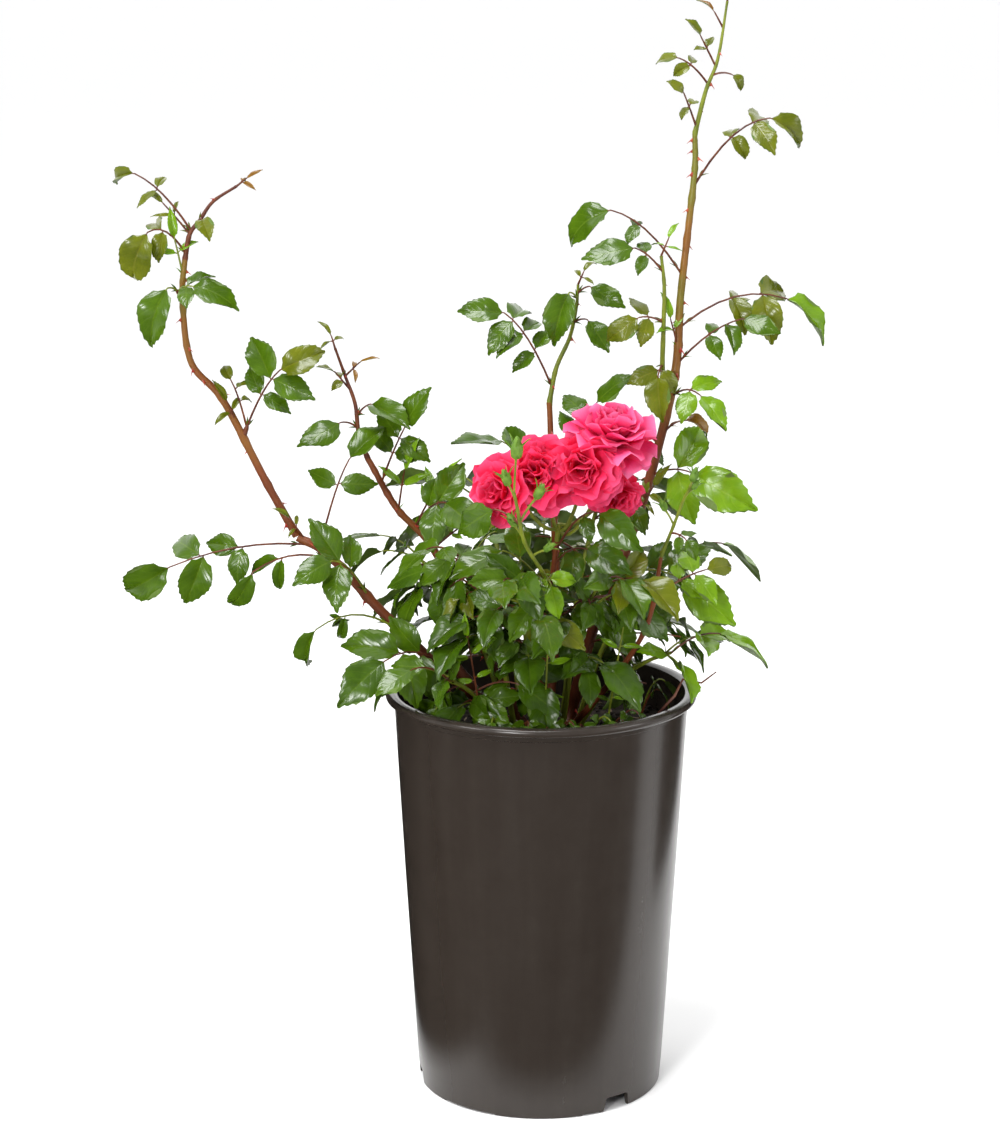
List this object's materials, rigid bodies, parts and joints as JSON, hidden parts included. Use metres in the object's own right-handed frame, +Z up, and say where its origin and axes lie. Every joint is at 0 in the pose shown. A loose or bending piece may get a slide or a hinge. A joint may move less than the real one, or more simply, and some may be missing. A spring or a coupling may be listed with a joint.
{
  "type": "potted rose bush",
  "caption": "Young repeat-flowering rose bush with tall thorny canes, compound leaves and a truss of double pink flowers, in a tall black plastic nursery pot.",
  "frame": {"origin": "centre of the pot's flat underside, on the surface that it stands on", "axes": "+Z up along the pot's axis, -Y to the plant's front where its flowers open, +X to the right seen from the front"},
  "size_m": [0.4338, 0.2497, 0.6805],
  "materials": {
    "pot_plastic": "satin black-brown moulded polypropylene",
    "peat": "moist peat compost",
    "cane_wood": "smooth young bark, red-brown low down and olive green above",
    "flower_stalk": "smooth green flower stalks",
    "leaf": "glossy toothed leaves",
    "petal": "soft matt petals"
  },
  "bodies": {
    "root": {"pot": "pot_plastic", "potting_soil": "peat", "right_cane": "cane_wood", "left_cane": "cane_wood", "mid_left_cane": "cane_wood", "middle_cane": "cane_wood", "bud_cane": "cane_wood", "flower_cane": "cane_wood", "left_upper_cane": "cane_wood", "pruned_stub": "cane_wood", "back_left_mass": "leaf", "back_middle_mass": "leaf", "back_right_mass": "leaf", "behind_bloom_leaf": "leaf", "bloom_left": "petal", "bloom_low": "petal", "bloom_middle": "petal", "bloom_outer": "petal", "bloom_upper": "petal", "flower_left_leaf": "leaf", "flower_side_leaf": "leaf", "flower_truss": "flower_stalk", "front_bud_shoot": "leaf", "front_left_mass": "leaf", "front_middle_mass": "leaf", "front_right_mass": "leaf", "left_arching_leaf": "leaf", "left_back_mass": "leaf", "left_cane_top": "leaf", "left_curled_leaf": "leaf", "left_front_mass": "leaf", "left_hanging_leaf": "leaf", "left_high_leaf": "leaf", "left_inner_leaf": "leaf", "left_low_leaf": "leaf", "left_side_leaf": "leaf", "mid_left_cane_top": "leaf", "mid_left_low_leaf": "leaf", "mid_left_upright_leaf": "leaf", "middle_cane_top": "leaf", "middle_side_leaf": "leaf", "right_back_mass": "leaf", "right_broad_leaf": "leaf", "right_bud_shoot": "leaf", "right_cane_top": "leaf", "right_front_mass": "leaf", "right_high_leaf": "leaf", "right_inner_leaf": "leaf", "right_inner_upper_leaf": "leaf", "right_middle_leaf": "leaf", "right_near_leaf": "leaf", "right_red_leaf": "leaf", "right_rim_leaf": "leaf", "right_side_shoot": "leaf", "right_small_leaf": "leaf", "right_spreading_leaf": "leaf", "right_upper_leaf": "leaf", "rim_left_leaf": "leaf", "under_bloom_leaf": "leaf"}
  },
  "joints": []
}
